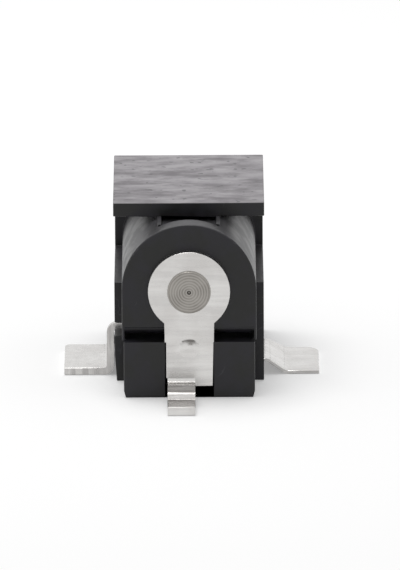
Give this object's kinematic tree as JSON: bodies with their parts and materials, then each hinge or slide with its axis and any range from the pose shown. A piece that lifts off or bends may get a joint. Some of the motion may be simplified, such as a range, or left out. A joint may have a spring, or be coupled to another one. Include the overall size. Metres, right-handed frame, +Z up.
{
  "type": "dc barrel jack",
  "caption": "Surface-mount DC power jack: black moulded socket with a riveted centre pin, a ring terminal and soldered side leads.",
  "frame": {"origin": "on the board's surface, under the middle of the housing's length and width", "axes": "+Y towards the plug along the socket's axis, +Z up from the board, +X to the thin lead's side"},
  "size_m": [0.0153, 0.0183, 0.011],
  "materials": {
    "housing_plastic": "satin black moulding",
    "pin_nickel": "nickel-plated turned brass",
    "contact_tin": "satin tin plating on sheet brass"
  },
  "bodies": {
    "root": {"housing": "housing_plastic", "centre_pin": "pin_nickel", "pin_terminal": "contact_tin", "sleeve_spring": "contact_tin", "shunt_contact": "contact_tin"}
  },
  "joints": []
}
